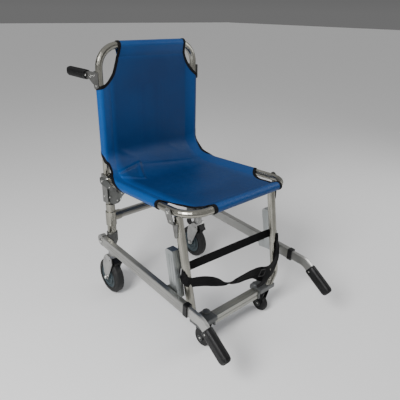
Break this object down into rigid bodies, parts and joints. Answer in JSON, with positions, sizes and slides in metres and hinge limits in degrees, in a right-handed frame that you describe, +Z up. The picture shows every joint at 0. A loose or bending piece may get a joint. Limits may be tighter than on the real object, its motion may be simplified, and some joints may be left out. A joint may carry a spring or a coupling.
{
  "type": "folding stair chair",
  "caption": "Folding stair chair with an aluminium tube frame, fabric sling seat and back, swivel casters behind, small wheels in front and pull-out carry handles.",
  "frame": {"origin": "on the floor, under the middle of the chair's bounding box", "axes": "+Z up, the chair faces -Y, +X is on the left of someone sitting in it"},
  "size_m": [0.5104, 0.8716, 0.9107],
  "materials": {
    "polished_tube": "satin polished",
    "rail_aluminium": "satin",
    "cast_metal": "grey cast",
    "bracket_steel": "satin plated",
    "bolt_steel": "bright",
    "black_rubber": "satin",
    "black_plastic": "matt",
    "grey_tyre": "matt",
    "hub_plastic": "matt",
    "sling_fabric": "coated, slightly glossy",
    "strap_webbing": "woven"
  },
  "bodies": {
    "back_frame": {"back_tube": "polished_tube", "rear_leg_left": "polished_tube", "rear_leg_right": "polished_tube", "hinge_bracket_left": "bracket_steel", "hinge_bracket_right": "bracket_steel", "rear_cross_tube": "polished_tube", "cross_tube_tee_left": "cast_metal", "cross_tube_tee_right": "cast_metal", "foot_casting_left": "cast_metal", "foot_casting_right": "cast_metal", "rail_pivot_bolt_left": "bolt_steel", "rail_pivot_bolt_right": "bolt_steel", "rear_handle_bracket_left": "bracket_steel", "rear_handle_bracket_right": "bracket_steel", "seat_hinge_pin_left": "bolt_steel", "seat_hinge_pin_right": "bolt_steel", "back_sling": "sling_fabric"},
    "seat_frame": {"seat_tube": "polished_tube", "seat_arm_left": "bracket_steel", "seat_arm_right": "bracket_steel", "seat_sling": "sling_fabric"},
    "rails": {"rail_left": "rail_aluminium", "rail_right": "rail_aluminium", "rail_collar_left": "black_plastic", "rail_collar_right": "black_plastic", "rail_plug_left": "cast_metal", "rail_plug_right": "cast_metal"},
    "front_legs": {"front_leg_left": "polished_tube", "front_leg_right": "polished_tube", "leg_plate_left": "bracket_steel", "leg_plate_right": "bracket_steel", "leg_brace_left": "rail_aluminium", "leg_brace_right": "rail_aluminium", "foot_block_left": "cast_metal", "foot_block_right": "cast_metal", "front_cross_bar": "rail_aluminium", "leg_strap": "strap_webbing", "front_fork_left": "black_plastic", "front_fork_right": "black_plastic"},
    "rear_handle_left": {"rear_handle_bar_left": "bracket_steel", "rear_grip_left": "black_rubber"},
    "front_handle_left": {"front_handle_bar_left": "rail_aluminium", "front_grip_left": "black_rubber"},
    "seat_latch_left": {"seat_latch_left": "bolt_steel"},
    "front_wheel_left": {"front_wheel_left": "black_rubber"},
    "caster_left": {"caster_fork_left": "bracket_steel"},
    "caster_wheel_left": {"caster_tyre_left": "grey_tyre", "caster_hub_left": "hub_plastic"},
    "brake_pedal_left": {"brake_pedal_left": "black_plastic"},
    "rear_handle_right": {"rear_handle_bar_right": "bracket_steel", "rear_grip_right": "black_rubber"},
    "front_handle_right": {"front_handle_bar_right": "rail_aluminium", "front_grip_right": "black_rubber"},
    "seat_latch_right": {"seat_latch_right": "bolt_steel"},
    "front_wheel_right": {"front_wheel_right": "black_rubber"},
    "caster_right": {"caster_fork_right": "bracket_steel"},
    "caster_wheel_right": {"caster_tyre_right": "grey_tyre", "caster_hub_right": "hub_plastic"},
    "brake_pedal_right": {"brake_pedal_right": "black_plastic"}
  },
  "joints": [
    {"name": "seat_fold", "type": "hinge", "parent": "back_frame", "child": "seat_frame", "pos_m": [0, 0.212, 0.466], "axis": [-1, 0, 0], "range_deg": [0, 80]},
    {"name": "rail_fold", "type": "hinge", "parent": "back_frame", "child": "rails", "pos_m": [0, 0.214, 0.2407], "axis": [-1, 0, 0], "range_deg": [0, 75.4]},
    {"name": "leg_fold", "type": "hinge", "parent": "seat_frame", "child": "front_legs", "pos_m": [0, -0.16, 0.48692], "axis": [-1, 0, 0], "range_deg": [-63.5, 0]},
    {"name": "rear_handle_left_fold", "type": "hinge", "parent": "back_frame", "child": "rear_handle_left", "pos_m": [-0.2005, 0.266, 0.806], "axis": [-1, 0, 0], "range_deg": [0, 84]},
    {"name": "front_handle_left_slide", "type": "slide", "parent": "rails", "child": "front_handle_left", "axis": [0, -0.9985, -0.0554], "range_m": [-0.035, 0.15]},
    {"name": "seat_latch_left_pull", "type": "slide", "parent": "back_frame", "child": "seat_latch_left", "axis": [1, 0, 0], "range_m": [0, 0.008], "stiffness_N_per_m": 1200},
    {"name": "front_wheel_left_spin", "type": "hinge", "parent": "front_legs", "child": "front_wheel_left", "pos_m": [-0.14, -0.2205, 0.032], "axis": [1, 0, 0], "continuous": true},
    {"name": "caster_left_swivel", "type": "hinge", "parent": "back_frame", "child": "caster_left", "pos_m": [-0.2085, 0.207, 0.2], "axis": [0, 0, 1], "continuous": true},
    {"name": "caster_wheel_left_spin", "type": "hinge", "parent": "caster_left", "child": "caster_wheel_left", "pos_m": [-0.2085, 0.2305, 0.069], "axis": [1, 0, 0], "continuous": true},
    {"name": "brake_pedal_left_press", "type": "hinge", "parent": "caster_left", "child": "brake_pedal_left", "pos_m": [-0.2085, 0.197, 0.155], "axis": [1, 0, 0], "range_deg": [0, 18]},
    {"name": "rear_handle_right_fold", "type": "hinge", "parent": "back_frame", "child": "rear_handle_right", "pos_m": [0.2005, 0.266, 0.806], "axis": [-1, 0, 0], "range_deg": [0, 84]},
    {"name": "front_handle_right_slide", "type": "slide", "parent": "rails", "child": "front_handle_right", "axis": [0, -0.9985, -0.0554], "range_m": [-0.035, 0.15]},
    {"name": "seat_latch_right_pull", "type": "slide", "parent": "back_frame", "child": "seat_latch_right", "axis": [-1, 0, 0], "range_m": [0, 0.008], "stiffness_N_per_m": 1200},
    {"name": "front_wheel_right_spin", "type": "hinge", "parent": "front_legs", "child": "front_wheel_right", "pos_m": [0.14, -0.2205, 0.032], "axis": [1, 0, 0], "continuous": true},
    {"name": "caster_right_swivel", "type": "hinge", "parent": "back_frame", "child": "caster_right", "pos_m": [0.2085, 0.207, 0.2], "axis": [0, 0, 1], "continuous": true},
    {"name": "caster_wheel_right_spin", "type": "hinge", "parent": "caster_right", "child": "caster_wheel_right", "pos_m": [0.2085, 0.2305, 0.069], "axis": [1, 0, 0], "continuous": true},
    {"name": "brake_pedal_right_press", "type": "hinge", "parent": "caster_right", "child": "brake_pedal_right", "pos_m": [0.2085, 0.197, 0.155], "axis": [1, 0, 0], "range_deg": [0, 18]}
  ],
  "couplings": [
    {"joint": "rail_fold", "follows": "seat_fold", "ratio": 0.941},
    {"joint": "leg_fold", "follows": "seat_fold", "ratio": -0.7914}
  ]
}
